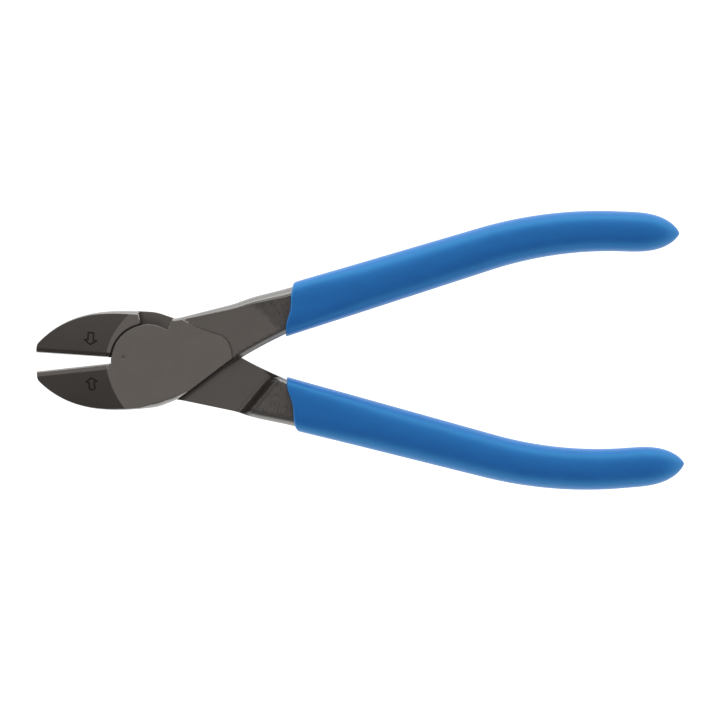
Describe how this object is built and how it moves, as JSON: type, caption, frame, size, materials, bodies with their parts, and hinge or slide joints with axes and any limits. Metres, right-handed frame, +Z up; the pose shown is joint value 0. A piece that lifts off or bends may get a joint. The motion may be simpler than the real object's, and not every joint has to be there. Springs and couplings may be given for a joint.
{
  "type": "side cutters",
  "caption": "Lap-jointed side cutters: forged dark steel halves on a flush rivet, with bevelled jaws that cut wire and long dipped blue vinyl grips.",
  "frame": {"origin": "pivot axis on the plane of the rear joint plate, at the middle of the rivet's rear end, where the tool lies on a bench", "axes": "+X from the pivot to the handles along the tool, +Z up through the rivet out of the front plate, +Y to the side of the upper grip"},
  "size_m": [0.1803, 0.0778, 0.0115],
  "materials": {
    "forged_steel": "dark satin ground steel",
    "rivet_steel": "ground flush",
    "blue_vinyl": "satin dipped vinyl"
  },
  "bodies": {
    "front": {"front_half": "forged_steel", "upper_grip": "blue_vinyl", "pivot_rivet": "rivet_steel"},
    "rear": {"rear_half": "forged_steel", "lower_grip": "blue_vinyl"}
  },
  "joints": [
    {"name": "jaw_pivot", "type": "hinge", "parent": "front", "child": "rear", "pos_m": [0, 0, 0.00575], "axis": [0, 0, -1], "range_deg": [-9.7, 40]}
  ]
}
